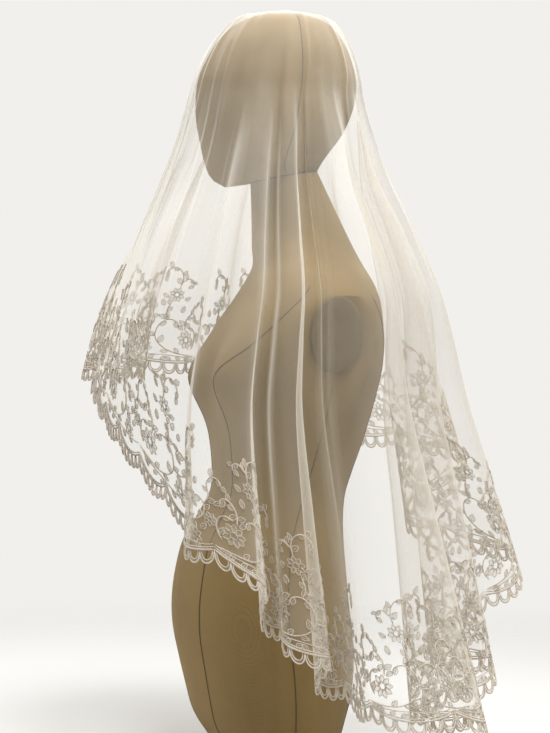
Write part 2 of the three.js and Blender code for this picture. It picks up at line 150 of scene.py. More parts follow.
# Sections of the form: height, front, back, half width, and the tilt towards the back.
HEAD_SECTIONS = np.array(
    [
        (922, -16, 43, 22, 0),
        (912, -44, 68, 42, 0),
        (890, -70, 87, 58, 0),
        (865, -86, 98, 68, 0),
        (840, -97, 104, 73, 0),
        (815, -100.5, 102, 74, 0),
        (790, -100, 95, 73, 0.02),
        (765, -95, 83, 69, 0.05),
        (742, -89, 68, 62, 0.1),
        (726, -80, 59, 55, 0.16),
        (717, -64, 54, 47, 0.19),
    ],
    dtype=float,
)
BODY_SECTIONS = np.array(
    [
        (719.75, -30, 52, 45, 0.19),
        (671, -29, 78, 47, 0.1),
        (634, -28, 97, 60, 0.05),
        (609, -25, 109, 90, 0),
        (588, -32, 114, 140, 0),
        (565, -44, 118, 175, 0),
        (540, -60, 121, 190, 0),
        (509, -71, 123, 192, 0),
        (478, -74, 122, 182, 0),
        (452, -75, 118, 168, 0),
        (427, -76, 113, 155, 0),
        (390, -76, 103, 139, 0),
        (352, -75, 90, 126, 0),
        (325, -78, 82, 121, 0),
        (296, -94, 79, 128, 0),
        (265, -112, 79, 142, 0),
        (232, -121, 81, 153, 0),
        (195, -126, 84, 160, 0),
        (160, -125, 88, 163, 0),
        (120, -117, 90, 162, 0),
        (80, -107, 86, 157, 0),
        (48, -97, 77, 152, 0),
        (22, -80, 69, 147, 0),
        (0, -66, 66, 143, 0),
    ],
    dtype=float,
)
BUST_X = 68.0
BUST_Z = 468.0
BUST_REACH = 28.0
BUST_SPREAD_X = 44.0
BUST_SPREAD_Z = 46.0
ARM_CUT_X = 165.0
ARM_CUT_Z = 520.0
ARM_CUT_LEAN = 0.14
ARM_CUT_FOOT = 395.0
ARM_PLATE_Y = 27.0
ARM_PLATE_HALF_DEPTH = 32.0
ARM_PLATE_HALF_HEIGHT = 46.0
ARM_PLATE_THICKNESS = 5.0
SEAM_GAP = 0.3

# Seams of the form's cover as heights and headings, for its left side; the right side mirrors them.
BODY_SEAMS = {
    "front_panel": ((578, 62), (540, 47), (505, 33), (472, 22), (430, 21), (380, 22), (325, 25),
                    (265, 27), (200, 27), (120, 25), (40, 22), (2, 22)),
    "side": ((458, 92), (420, 91), (360, 90), (300, 88), (220, 86), (120, 85), (2, 85)),
    "back_panel": ((566, 118), (530, 135), (480, 146), (420, 150), (325, 152), (220, 150), (120, 148),
                   (2, 148)),
}

# One scallop of lace, drawn across its pitch and up from its lowest point, in millimetres.
PITCH = 92.0
# Hem lengths under this share of the pitch count as gathered, and wide motifs there sit a little higher.
GATHERED = 0.68
WIDE_LIFT = 7.0
VINE_CORD = 0.95
LEAF_CORD = 0.6
PETAL_CORD = 0.55
LEAF_WIDTH = 0.6
FLOWERS = (
    # across, height, reach, petals, turn
    (20, 52, 13, 9, 0.1),
    (70, 36, 9.5, 7, 0.5),
    (44, 112, 10.5, 8, 0.3),
    (88, 60, 8, 7, 0.2),
)
VINES = (
    # points along the stem, leaves, leaf length
    (((4, 33), (20, 31), (38, 32), (52, 40), (60, 53), (58, 68), (48, 77), (37, 74), (33, 65)), 9, 11),
    (((60, 53), (71, 54), (80, 62), (81, 74), (73, 81), (65, 77), (66, 70)), 6, 10),
    (((48, 77), (52, 88), (49, 100)), 3, 10),
    (((42, 122), (40, 133), (44, 144), (53, 150), (62, 148), (66, 141), (62, 136)), 6, 10),
    (((40, 130), (31, 136), (23, 133), (22, 126)), 4, 8),
    (((81, 74), (86, 86), (84, 98), (89, 107), (97, 107), (100, 100)), 6, 9),
    (((8, 42), (3, 52), (4, 64), (12, 70), (20, 68)), 4, 9),
    (((24, 64), (24, 78), (17, 88), (9, 88), (7, 81)), 5, 10),
)
LEAVES = (
    # across, height, turn, length
    (14, 23.5, 0.7, 8),
    (26, 21.5, 0.6, 8),
    (38, 20.5, 0.5, 8),
    (50, 20.5, 2.6, 8),
    (63, 21.5, 2.5, 8),
    (77, 23.5, 2.4, 8),
    (57, 96, 1.2, 10),
    (33, 88, 1.9, 10),
    (68, 92, 1.4, 9),
    (31, 106, 2.6, 9),
    (54, 108, 0.5, 9),
    (78, 46, 0.9, 9),
)
ARC_CORD = 0.7
STITCH_SINK = 0.3
RIMS = (
    # half width as a share of the loop, depth, cord radius
    (0.49, LOOP_BASE - 1.2, 1.1),
    (0.36, LOOP_BASE - 5.0, 0.8),
)
BASE_CORDS = (
    # height, cord radius
    (LOOP_BASE + 0.3, 1.35),
    (LOOP_BASE + 3.2, 0.9),
)
INNER_ARC = ((1, 34), (9, 30), (20, 28), (33, 27), (46, 27), (59, 27), (72, 28), (83, 30), (91, 34))


def heading_of(angle):
    """Plan direction of a heading: 0 is the front, a quarter turn is the form's left."""
    return np.stack([np.sin(angle), -np.cos(angle)], axis=-1)


def smooth_step(value, low, high):
    share = np.clip((value - low) / (high - low), 0.0, 1.0)
    return share * share * (3.0 - 2.0 * share)


def from_table(keys, values, at):
    """Smooth value of a column at places along its key column, going on straight past its end."""
    at = np.asarray(at, dtype=float)
    i = np.clip(np.searchsorted(keys, at, side="left") - 1, 0, len(keys) - 2)
    before = np.maximum(i - 1, 0)
    after = np.minimum(i + 2, len(keys) - 1)
    step = keys[i + 1] - keys[i]
    slope_a = (values[i + 1] - values[before]) / (keys[i + 1] - keys[before])
    slope_b = (values[after] - values[i]) / (keys[after] - keys[i])
    s = (at - keys[i]) / step
    curve = (
        (2 * s**3 - 3 * s**2 + 1) * values[i]
        + (s**3 - 2 * s**2 + s) * step * slope_a
        + (3 * s**2 - 2 * s**3) * values[i + 1]
        + (s**3 - s**2) * step * slope_b
    )
    beyond = values[i + 1] + (at - keys[i + 1]) * slope_b
    return np.where(s > 1, beyond, curve)


def section_lengths():
    """Cloth length from the crown down to each section of the veil."""
    mean_radius = ((VEIL_SECTIONS[:, 2] - VEIL_SECTIONS[:, 1]) / 2 + VEIL_SECTIONS[:, 3]) / 2
    steps = np.hypot(np.diff(VEIL_SECTIONS[:, 0]), np.diff(mean_radius))
    return np.concatenate([[0.0], np.cumsum(steps)])


VEIL_LENGTHS = section_lengths()
FOLD_ENDS = FIRST_TROUGH + np.cumsum(FOLDS[:, 0])
FOLD_STARTS = FOLD_ENDS - FOLDS[:, 0]


def fold_strip(share, bend):
    """Where a strip of cloth goes when its direction swings to and fro by up to bend."""
    across = np.zeros_like(share)
    rise = np.zeros_like(share)
    crossed = np.zeros_like(share)
    risen = np.zeros_like(share)
    crest = np.zeros_like(share)
    for i in range(FOLD_STEPS):
        place = (i + 0.5) / FOLD_STEPS * 2 * math.pi
        turn = bend * math.sin(place) * (1 + CREST_BREADTH * math.cos(place))
        part = np.clip(share * FOLD_STEPS - i, 0.0, 1.0)
        crossed += np.cos(turn) * part
        risen += np.sin(turn) * part
        across += np.cos(turn)
        rise += np.sin(turn)
        crest = np.maximum(crest, rise)
    crestness = np.divide(risen, crest, out=np.zeros_like(crest), where=crest > 1e-9)
    return crossed / across, risen / FOLD_STEPS, crestness


def drape(heading, length, crest_lift):
    """Places on the draped veil of cloth at headings and lengths from the crown, in millimetres."""
    turn = np.mod(np.degrees(heading) - FIRST_TROUGH, 360.0) + FIRST_TROUGH
    fold = np.clip(np.searchsorted(FOLD_ENDS, turn, side="right"), 0, len(FOLDS) - 1)
    span, fullness, swing = (FOLDS[fold, column] for column in range(3))
    share = (turn - FOLD_STARTS[fold]) / span
    drop, front, back, side, corner = (
        from_table(VEIL_LENGTHS, VEIL_SECTIONS[:, column], length) for column in range(5)
    )
    half_depth = (back - front) / 2
    strip = fullness * length * np.radians(span)
    gathered = 0.5 * (half_depth + side) + CLOTH_SPREAD * length
    tightness = np.minimum(1.0, gathered * np.radians(span) / np.maximum(strip, 1.0))
    ease = smooth_step(length, FOLDS_BEGIN, FOLDS_FULL)
    bend = ease * 2 * np.sqrt(2 * (1 - np.sqrt(tightness)))
    across, risen, crestness = fold_strip(share, bend)
    rise = risen * strip
    angle = np.radians(FOLD_STARTS[fold] + span * across + swing * crestness * ease)
    out = heading_of(angle)
    widened = 1 + corner * np.sin(2 * angle) ** 2
    return np.stack(
        [
            (side * widened + rise) * out[..., 0],
            (front + back) / 2 + (half_depth * widened + rise) * out[..., 1],
            HEAD_TOP + HEAD_CLEARANCE - drop + crest_lift * rise,
        ],
        axis=-1,
    )


def edge_turns(half_length, half_width, shares):
    """Turns round an oval after shares of its edge, counted from the end of its long way."""
    turn = np.arange(EDGE_STEPS + 1) / EDGE_STEPS * 2 * math.pi
    middle = (turn[1:] + turn[:-1]) / 2
    speed = np.hypot(half_length * np.sin(middle), half_width * np.cos(middle))
    run = np.concatenate([[0.0], np.cumsum(speed)])
    return np.interp(shares, run / run[-1], turn)


def edge_of(column, veil):
    """Heading and length from the crown of places round the oval cut's edge."""
    half_length, half_width = veil.cut_half_length / MM, veil.cut_half_width / MM
    shares = np.mod(np.asarray(column) / CLOTH_COLUMNS - veil.longest_at / 360.0, 1.0)
    turn = edge_turns(half_length, half_width, shares)[..., None]
    long_way = heading_of(math.radians(veil.longest_at))
    cross_way = heading_of(math.radians(veil.longest_at + 90.0))
    along = veil.crown_offset / MM + half_length * np.cos(turn)
    edge = long_way * along + cross_way * half_width * np.sin(turn)
    return np.arctan2(edge[..., 0], -edge[..., 1]), np.hypot(edge[..., 0], edge[..., 1])


def hem_height(column):
    """How far the scalloped hem lies above the lowest point of its scallop."""
    share = np.mod(np.asarray(column) / COLUMNS_PER_SCALLOP, 1.0)
    return SCALLOP_DEPTH * (2 * share - 1) ** 2


def creased(heading, length, to_edge):
    """Height of the creases above the smooth drape; they run out above the lace."""
    turn = np.degrees(heading)
    height = np.zeros_like(length)
    for at, start, end, width, rise, drift in CREASES:
        along = (length - start) / (end - start)
        window = np.sin(np.pi * np.clip(along, 0.0, 1.0)) ** 0.6
        away = np.mod(turn - at - drift * along + 180.0, 360.0) - 180.0
        across = np.radians(away) * length / (width * (0.7 + 0.6 * np.clip(along, 0.0, 1.0)))
        height = np.maximum(height, rise * window * np.exp(-(across**2)))
    return height * smooth_step(to_edge, CREASES_END, CREASES_WHOLE)


def unit(vectors):
    return vectors / np.maximum(np.linalg.norm(vectors, axis=-1, keepdims=True), 1e-12)


def cloth_points(column, height, veil, out=0.0):
    """Points and outward normals of the cloth at places on the cut, moved out by some millimetres."""
    heading, length = edge_of(column, veil)
    lift = veil.crest_lift
    place = drape(heading, length - height, lift)
    step = 0.02
    heading_a, length_a = edge_of(column - step, veil)
    heading_b, length_b = edge_of(column + step, veil)
    around = drape(heading_b, length_b - height, lift) - drape(heading_a, length_a - height, lift)
    below = drape(heading, length - height + 1.0, lift) - drape(heading, length - height - 1.0, lift)
    normal = unit(np.cross(below, around))
    return place + normal * out, normal


class Wire:
    """A socket in a material that takes part in Python expressions."""

    def __init__(self, recipe, socket):
        self.recipe = recipe
        self.socket = socket

    def maths(self, operation, *others):
        return self.recipe.add("ShaderNodeMath", {"operation": operation}, dict(enumerate((self, *others))))

    def __add__(self, other):
        return self.maths("ADD", other)

    __radd__ = __add__

    def __mul__(self, other):
        return self.maths("MULTIPLY", other)

    __rmul__ = __mul__

    def __sub__(self, other):
        return self.maths("SUBTRACT", other)

    def __rsub__(self, other):
        return self.recipe.add("ShaderNodeMath", {"operation": "SUBTRACT"}, {0: other, 1: self})

    def __pow__(self, other):
        return self.maths("POWER", other)

    def cosine(self):
        return self.maths("COSINE")

    def between(self, low, high, interpolation="SMOOTHSTEP"):
        """Goes from 0 to 1 as the value goes from low to high."""
        return self.recipe.add(
            "ShaderNodeMapRange",
            {"interpolation_type": interpolation},
            {"Value": self, "From Min": low, "From Max": high},
            "Result",
        )


class Recipe:
    """The nodes of a material or a world, with one shader."""

    def __init__(self, name, world=False):
        self.owner = bpy.data.worlds.new(name) if world else bpy.data.materials.new(name)
        self.owner.use_nodes = True
        self.tree = self.owner.node_tree
        self.shader = self.tree.nodes["Background" if world else "Principled BSDF"]

    def add(self, kind, settings=None, inputs=None, output=0):
        node = self.tree.nodes.new(kind)
        for name, value in (settings or {}).items():
            if name == "stops":
                self.set_stops(node.color_ramp, value)
            else:
                setattr(node, name, value)
        self.feed(node, inputs or {})
        return Wire(self, node.outputs[output])

    def feed(self, node, inputs):
        for name, value in inputs.items():
            if isinstance(value, Wire):
                self.tree.links.new(value.socket, node.inputs[name])
            else:
                node.inputs[name].default_value = value

    def set_stops(self, ramp, stops):
        while len(ramp.elements) < len(stops):
            ramp.elements.new(0.5)
        for element, (position, colour) in zip(ramp.elements, stops):
            element.position = position
            element.color = (*colour, 1.0)

    def surface(self, **inputs):
        self.feed(self.shader, {name.replace("_", " "): value for name, value in inputs.items()})
        return self.owner

    def noise(self, scale, detail=3.0):
        return self.add("ShaderNodeTexNoise", None, {"Scale": scale, "Detail": detail}, "Fac")

    def place(self):
        return self.add("ShaderNodeTexCoord", None, None, "Object")

    def attribute(self, name, output="Fac"):
        return self.add("ShaderNodeAttribute", {"attribute_name": name}, None, output)

    def parts(self, vector):
        node = self.tree.nodes.new("ShaderNodeSeparateXYZ")
        self.feed(node, {"Vector": vector})
        return [Wire(self, socket) for socket in node.outputs]

    def bump(self, height, distance, strength=1.0):
        inputs = {"Height": height, "Distance": distance, "Strength": strength}
        return self.add("ShaderNodeBump", None, inputs)

    def ramp(self, value, stops):
        return self.add("ShaderNodeValToRGB", {"stops": stops}, {"Fac": value}, "Color")


def scaled(colour, factor):
    return tuple(channel * factor for channel in colour)


def tulle_material(finish):
    """Sheer net: open hexagonal mesh, denser seen edge on, with a soft sheen."""
    recipe = Recipe("sheer_tulle")
    across, along, _ = recipe.parts(recipe.attribute("cut", "Vector"))
    pitch = 2 * math.pi / finish.net_pitch
    one = (across * pitch).cosine()
    two = ((across * -0.5 + along * 0.866) * pitch).cosine()
    three = ((across * 0.5 + along * 0.866) * pitch).cosine()
    thread = 1 - (one + two + three).between(-1.2, 0.6)
    streak = recipe.noise(9.0, 4.0)
    facing = recipe.add("ShaderNodeLayerWeight", None, {"Blend": 0.5}, "Facing")
    edge_on = facing**2.5
    cover = finish.tulle_cover * (0.55 + 0.9 * thread) * (0.8 + 0.4 * streak)
    alpha = cover + edge_on * finish.tulle_edge_cover
    colour = tuple(finish.tulle_colour)
    return recipe.surface(
        Base_Color=recipe.ramp(streak, ((0.3, scaled(colour, 0.95)), (0.7, colour))),
        Roughness=0.55,
        Specular_IOR_Level=0.2,
        Sheen_Weight=0.12,
        Sheen_Roughness=0.4,
        Alpha=alpha.maths("MINIMUM", 0.9),
    )


def thread_material(finish):
    """Twisted ivory cord."""
    recipe = Recipe("lace_cord")
    run = recipe.attribute("run")
    twist = (run * (2 * math.pi / finish.twist_pitch)).cosine()
    colour = tuple(finish.lace_colour)
    tone = recipe.noise(120.0) * 0.6 + recipe.noise(14.0) * 0.4
    return recipe.surface(
        Base_Color=recipe.ramp(tone, ((0.3, scaled(colour, 0.78)), (0.7, colour))),
        Roughness=0.6,
        Sheen_Weight=0.2,
        Normal=recipe.bump(twist, 0.0003),
    )


def stitch_material(finish):
    """Satin stitch that fills leaves and petals, thin enough to let light through."""
    recipe = Recipe("lace_stitch")
    run = recipe.attribute("run")
    row = (run * (2 * math.pi / finish.stitch_pitch)).cosine()
    colour = tuple(finish.lace_colour)
    tone = recipe.noise(90.0)
    return recipe.surface(
        Base_Color=recipe.ramp(tone, ((0.3, scaled(colour, 0.9)), (0.7, scaled(colour, 1.05)))),
        Roughness=0.5,
        Sheen_Weight=0.3,
        Alpha=finish.stitch_cover + row * 0.12,
        Normal=recipe.bump(row, 0.0002),
    )


def cover_material(name, colour, finish):
    """Plain-weave cloth drawn over the form, with soft soiling."""
    recipe = Recipe(name)
    across, deep, up = recipe.parts(recipe.place())
    pitch = 2 * math.pi / finish.weave_pitch
    upright = (up * pitch).cosine()
    weave = (across * pitch).cosine() * upright + (deep * pitch).cosine() * upright
    slub = recipe.noise(260.0, 4.0)
    cloud = recipe.noise(5.0, 3.0)
    tone = cloud * 0.7 + slub * 0.3
    stops = ((0.25, scaled(colour, 0.82)), (0.5, colour), (0.75, scaled(colour, 1.12)))
    return recipe.surface(
        Base_Color=recipe.ramp(tone, stops),
        Roughness=0.85,
        Specular_IOR_Level=0.12,
        Sheen_Weight=0.06,
        Sheen_Roughness=0.5,
        Normal=recipe.bump(weave * 0.5 + slub, 0.0004, 0.6),
    )


def seam_material(finish):
    """Dark thread in the seams of the form's cover."""
    recipe = Recipe("form_seam")
    colour = tuple(finish.seam_colour)
    tone = recipe.noise(300.0)
    return recipe.surface(
        Base_Color=recipe.ramp(tone, ((0.3, scaled(colour, 0.7)), (0.7, colour))), Roughness=0.9
    )


def floor_material(stage):
    """Pale floor that fades out into the room."""
    recipe = Recipe("pale_floor")
    away = recipe.add("ShaderNodeVectorMath", {"operation": "LENGTH"}, {0: recipe.place()}, "Value")
    colour = tuple(stage.floor_colour)
    tone = recipe.noise(3.0)
    return recipe.surface(
        Base_Color=recipe.ramp(tone, ((0.3, scaled(colour, 0.985)), (0.7, colour))),
        Roughness=0.9,
        Alpha=1 - away.between(stage.floor_radius * 0.35, stage.floor_radius * 0.97),
    )


def new_piece(name, points, faces, materials, nodes, face_materials=None, run=None, cut=None):
    """A smooth mesh piece in metres that rides on the part and stands for its CAD nodes."""
    mesh = bpy.data.meshes.new(name)
    mesh.from_pydata((np.asarray(points) * MM).tolist(), [], faces)
    for material in materials:
        mesh.materials.append(material)
    mesh.polygons.foreach_set("use_smooth", np.ones(len(mesh.polygons), dtype=bool))
    if face_materials is not None:
        mesh.polygons.foreach_set("material_index", np.asarray(face_materials, dtype=np.int32))
    if run is not None:
        mesh.attributes.new("run", "FLOAT", "POINT").data.foreach_set("value", np.asarray(run) * MM)
    if cut is not None:
        flat = np.concatenate([np.asarray(cut) * MM, np.zeros((len(cut), 1))], axis=1)
        mesh.attributes.new("cut", "FLOAT_VECTOR", "POINT").data.foreach_set("vector", flat.ravel())
    mesh.update()
    piece = bpy.data.objects.new(name, mesh)
    bpy.context.scene.collection.objects.link(piece)
    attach(piece, BODY)
    if nodes:
        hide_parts(*nodes)
    return piece


def ring_faces(upper, lower, columns):
    """Quads between two closed rings that start at two vertex numbers."""
    faces = []
    for column in range(columns):
        after = (column + 1) % columns
        faces.append((upper + column, lower + column, lower + after, upper + after))
    return faces


def opening_ring_faces(upper, lower, columns, times):
    """Triangles from a ring to the next one, which has some times as many points."""
    faces = []
    for column in range(columns):
        a, b = upper + column, upper + (column + 1) % columns
        fine = [lower + (column * times + k) % (columns * times) for k in range(times + 1)]
        half = times // 2
        faces += [(a, fine[k], fine[k + 1]) for k in range(half)]
        faces.append((a, fine[half], b))
        faces += [(b, fine[k], fine[k + 1]) for k in range(half, times)]
    return faces


TULLE_COLUMNS = CLOTH_COLUMNS * 6
CROWN_THINNING = 6
CROWN_ROWS = (8.0, 18.0, 28.0, 38.0)
CROWN_END = 48.0
FALL_ROWS = 116


def make_tulle(veil, material):
    """The veil's net from the crown to the cord above its hem loops."""
    points = [np.array([[0.0, HEAD_TOP_Y, HEAD_TOP + HEAD_CLEARANCE]])]
    cut = [np.zeros((1, 2))]
    faces = []
    columns = np.arange(TULLE_COLUMNS) / TULLE_COLUMNS * CLOTH_COLUMNS
    heading, edge_length = edge_of(columns, veil)
    length = edge_length - LOOP_BASE - hem_height(columns)

    few = TULLE_COLUMNS // CROWN_THINNING
    start = 1
    for row, reach in enumerate(CROWN_ROWS):
        angle = heading[::CROWN_THINNING]
        points.append(drape(angle, np.full(few, reach), veil.crest_lift))
        cut.append(heading_of(angle) * reach)
        if row == 0:
            faces += [(0, start + column, start + (column + 1) % few) for column in range(few)]
        else:
            faces += ring_faces(start - few, start, few)
        start += few

    shares = np.linspace(0.0, 1.0, FALL_ROWS)[:, None]
    reach = CROWN_END + (length[None, :] - CROWN_END) * shares
    angle = np.broadcast_to(heading[None, :], reach.shape)
    fall = drape(angle, reach, veil.crest_lift)
    around = np.roll(fall, -1, axis=1) - np.roll(fall, 1, axis=1)
    below = np.gradient(fall, axis=0)
    normal = unit(np.cross(below, around))
    fall = fall + normal * (NET_OUT + creased(angle, reach, length - reach))[..., None]
    points.append(fall.reshape(-1, 3))
    cut.append((heading_of(angle) * reach[..., None]).reshape(-1, 2))
    faces += opening_ring_faces(start - few, start, few, CROWN_THINNING)
    for row in range(FALL_ROWS - 1):
        upper = start + row * TULLE_COLUMNS
        faces += ring_faces(upper, upper + TULLE_COLUMNS, TULLE_COLUMNS)
    return new_piece(
        "veil_net",
        np.concatenate(points),
        faces,
        [material],
        ["veil_tulle"],
        cut=np.concatenate(cut),
    )


class Threads:
    """Gathers cords and stitched fills, many copies at a time, into one mesh."""

    def __init__(self):
        self.points = []
        self.runs = []
        self.faces = []
        self.kinds = []
        self.count = 0

    def take(self, points, run, faces, kind):
        copies, count = points.shape[:2]
        starts = self.count + np.arange(copies) * count
        faces = np.asarray(faces)
        self.points.append(points.reshape(-1, 3))
        self.runs.append(np.tile(run, copies))
        self.faces += (starts[:, None, None] + faces[None]).reshape(-1, faces.shape[1]).tolist()
        self.kinds += [kind] * (copies * len(faces))
        self.count += copies * count

    def cord(self, centre, normal, run, radius, closed, sides=4):
        """A round cord along points, its open ends drawn in."""
        if closed:
            tangent = unit(np.roll(centre, -1, axis=1) - np.roll(centre, 1, axis=1))
        else:
            tangent = unit(np.gradient(centre, axis=1))
        side = unit(np.cross(tangent, normal))
        copies, count = centre.shape[:2]
        turns = (np.arange(sides) + 0.5) / sides * 2 * math.pi
        size = np.full(count, radius)
        if not closed:
            size[[0, -1]] *= 0.4
        ring = normal[:, :, None] * np.cos(turns)[:, None] + side[:, :, None] * np.sin(turns)[:, None]
        points = centre[:, :, None] + ring * size[:, None, None]
        faces = []
        for i in range(count if closed else count - 1):
            a, b = i * sides, (i + 1) % count * sides
            for k in range(sides):
                after = (k + 1) % sides
                faces.append((a + k, a + after, b + after, b + k))
        if not closed and sides == 4:
            end = (count - 1) * sides
            faces += [(3, 2, 1, 0), (end, end + 1, end + 2, end + 3)]
        self.take(points.reshape(copies, -1, 3), np.repeat(run, sides), faces, 0)

    def fill(self, outline, normal, run):
        """A stitched patch inside a closed outline, a little below its cord."""
        edge = outline - normal * STITCH_SINK
        count = edge.shape[1]
        points = np.concatenate([edge, edge.mean(axis=1, keepdims=True)], axis=1)
        faces = [(i, (i + 1) % count, count) for i in range(count)]
        self.take(points, np.append(run, run.mean()), faces, 1)

    def band(self, outer, inner, normal, run):
        """A stitched strip between two paths with as many points each."""
        count = outer.shape[1]
        sink = normal * STITCH_SINK
        points = np.concatenate([outer - sink, inner - sink], axis=1)
        faces = [(i, i + 1, count + i + 1, count + i) for i in range(count - 1)]
        self.take(points, np.tile(run, 2), faces, 1)


def curve_through(points, per_step=4):
    """Smooth open path through a few points."""
    points = np.asarray(points, dtype=float)
    keys = np.arange(len(points), dtype=float)
    at = np.linspace(0, len(points) - 1, (len(points) - 1) * per_step + 1)
    return np.stack([from_table(keys, points[:, axis], at) for axis in range(2)], axis=-1)


def turned(points, turn):
    return np.stack(
        [
            points[:, 0] * math.cos(turn) - points[:, 1] * math.sin(turn),
            points[:, 0] * math.sin(turn) + points[:, 1] * math.cos(turn),
        ],
        axis=-1,
    )


def leaf_outline(across, height, turn, length, width_share, half_points=6):
    """Oval with a soft point that grows from its stalk, and how far along it each point lies."""
    along = np.linspace(0.0, 1.0, half_points + 1)
    half_width = length * width_share * 0.5 * np.sin(np.pi * along**0.8) ** 0.85
    there = np.stack([along * length, half_width], axis=-1)
    back = np.stack([along[-2:0:-1] * length, -half_width[-2:0:-1]], axis=-1)
    outline = np.concatenate([there, back])
    return turned(outline, turn) + (across, height), outline[:, 0]


def ring_outline(across, height, reach, count=8):
    turn = np.arange(count) / count * 2 * math.pi
    return np.stack([across + reach * np.cos(turn), height + reach * np.sin(turn)], axis=-1)


def path_run(path):
    steps = np.hypot(*np.diff(path, axis=0).T)
    return np.concatenate([[0.0], np.cumsum(steps)])


class Pattern:
    """One scallop of lace laid flat: cords, stitched fills and the looped hem."""

    def __init__(self):
        self.cords = []
        self.fills = []
        self.bands = []
        for flower in FLOWERS:
            self.flower(*flower)
        for vine in VINES:
            self.vine(*vine)
        for leaf in LEAVES:
            self.leaf(*leaf)
        self.cords.append((curve_through(INNER_ARC, 3), ARC_CORD, False, False))
        self.hem()

    def leaf(self, across, height, turn, length):
        outline, run = leaf_outline(across, height, turn, length, LEAF_WIDTH)
        self.cords.append((outline, LEAF_CORD, True, False))
        self.fills.append((outline, run))
        rib = np.stack([np.linspace(0.05, 0.8, 4) * length, np.zeros(4)], axis=-1)
        self.cords.append((turned(rib, turn) + (across, height), LEAF_CORD * 0.7, False, False))

    def flower(self, across, height, reach, petals, start):
        core = reach * 0.3
        for k in range(petals):
            turn = start + k / petals * 2 * math.pi
            foot = (across + core * math.cos(turn), height + core * math.sin(turn))
            outline, run = leaf_outline(*foot, turn, reach - core, 0.66, 4)
            self.cords.append((outline, PETAL_CORD, True, False))
            self.fills.append((outline, run))
        self.cords.append((ring_outline(across, height, core), PETAL_CORD * 1.2, True, False))

    def vine(self, stem, count, length):
        path = curve_through(stem)
        self.cords.append((path, VINE_CORD, False, False))
        tangent = np.gradient(path, axis=0)
        for k in range(count):
            at = int((k + 0.7) / count * (len(path) - 1))
            along = math.atan2(tangent[at, 1], tangent[at, 0])
            side = 1 if k % 2 else -1
            turn = along + side * (1.0 - 0.2 * (k % 3))
            foot = path[at] + VINE_CORD * np.array([math.cos(turn), math.sin(turn)])
            self.leaf(*foot, turn, length * (0.88 + 0.14 * math.cos(k * 2.1)))

    def hem(self):
        """Loops below a thick cord, as heights above the scalloped hem line."""
        loop = PITCH / LOOPS_PER_SCALLOP
        turn = np.linspace(0.0, math.pi, 13)
        for k in range(LOOPS_PER_SCALLOP):
            centre = (k + 0.5) * loop
            rims = []
            for width, depth, radius in RIMS:
                across = centre - np.cos(turn) * loop * width
                height = LOOP_BASE - np.sin(turn) ** 0.7 * depth
                rims.append(np.stack([across, height], axis=-1))
                self.cords.append((rims[-1], radius, False, True))
            self.bands.append((rims[0], rims[1]))
        base = np.linspace(0.0, PITCH, 25)
        for height, radius in BASE_CORDS:
            self.cords.append((np.stack([base, np.full_like(base, height)], axis=-1), radius, False, True))


def motif_places(scallops, veil):
    """Where each motif starts, and over how many scallops it spreads: two where the hem is gathered."""
    steps = np.linspace(0.0, 1.0, 25) * COLUMNS_PER_SCALLOP
    column = np.asarray(scallops)[:, None] * COLUMNS_PER_SCALLOP + steps
    hem, _ = cloth_points(column, np.zeros_like(column), veil)
    length = np.linalg.norm(np.diff(hem, axis=1), axis=-1).sum(axis=1)
    first, spread = [], []
    k = 0
    while k < len(scallops):
        wide = length[k : k + 2].sum() < GATHERED * 2 * PITCH and k + 1 < len(scallops)
        first.append(scallops[k] * COLUMNS_PER_SCALLOP)
        spread.append(2 if wide else 1)
        k += spread[-1]
    return np.array(first)[:, None], np.array(spread)[:, None]


def make_lace(name, node, scallops, veil, materials):
    """One stretch of the corded lace edge."""
    threads = Threads()
    pattern = Pattern()
    raised = veil.lace_out / MM
    first = np.asarray(scallops)[:, None] * COLUMNS_PER_SCALLOP
    motif_first, motif_scallops = motif_places(scallops, veil)

    def laid(path, on_hem=False):
        along = path[None, :, 0] / PITCH * COLUMNS_PER_SCALLOP
        if on_hem:
            column = first + along
            height = path[None, :, 1] + hem_height(np.clip(column, first, first + COLUMNS_PER_SCALLOP))
        else:
            column = motif_first + along * motif_scallops
            height = path[None, :, 1] + WIDE_LIFT * (motif_scallops - 1)
        return cloth_points(column, np.broadcast_to(height, column.shape), veil, raised)

    for path, radius, closed, on_hem in pattern.cords:
        threads.cord(*laid(path, on_hem), path_run(path), radius, closed)
    for path, run in pattern.fills:
        threads.fill(*laid(path), run)
    for outer, inner in pattern.bands:
        (outside, normal), (inside, _) = laid(outer, True), laid(inner, True)
        threads.band(outside, inside, normal, path_run(outer))
    return new_piece(
        name,
        np.concatenate(threads.points),
        threads.faces,
        materials,
        [node],
        face_materials=threads.kinds,
        run=np.concatenate(threads.runs),
    )


FORM_COLUMNS = 96
FORM_STEP = 7.0


def form_surface(sections, heading, height, bust):
    """Points of the form's cover at headings and heights."""
    keys = -sections[:, 0]
    front, back, side, tilt = (from_table(keys, sections[:, column], -height) for column in range(1, 5))
    middle = (front + back) / 2
    out = heading_of(heading)
    x = side * out[..., 0]
    y = middle + (back - front) / 2 * out[..., 1]
    z = height + tilt * (y - middle)
    if bust:
        away_x = (np.abs(x) - BUST_X) / BUST_SPREAD_X
        away_z = (z - BUST_Z) / BUST_SPREAD_Z
        forwards = np.clip((middle - y) / BUST_SPREAD_X, 0.0, 1.0)
        y = y - BUST_REACH * forwards * np.exp(-(away_x**2) - away_z**2)
    return np.stack([x, y, z], axis=-1)


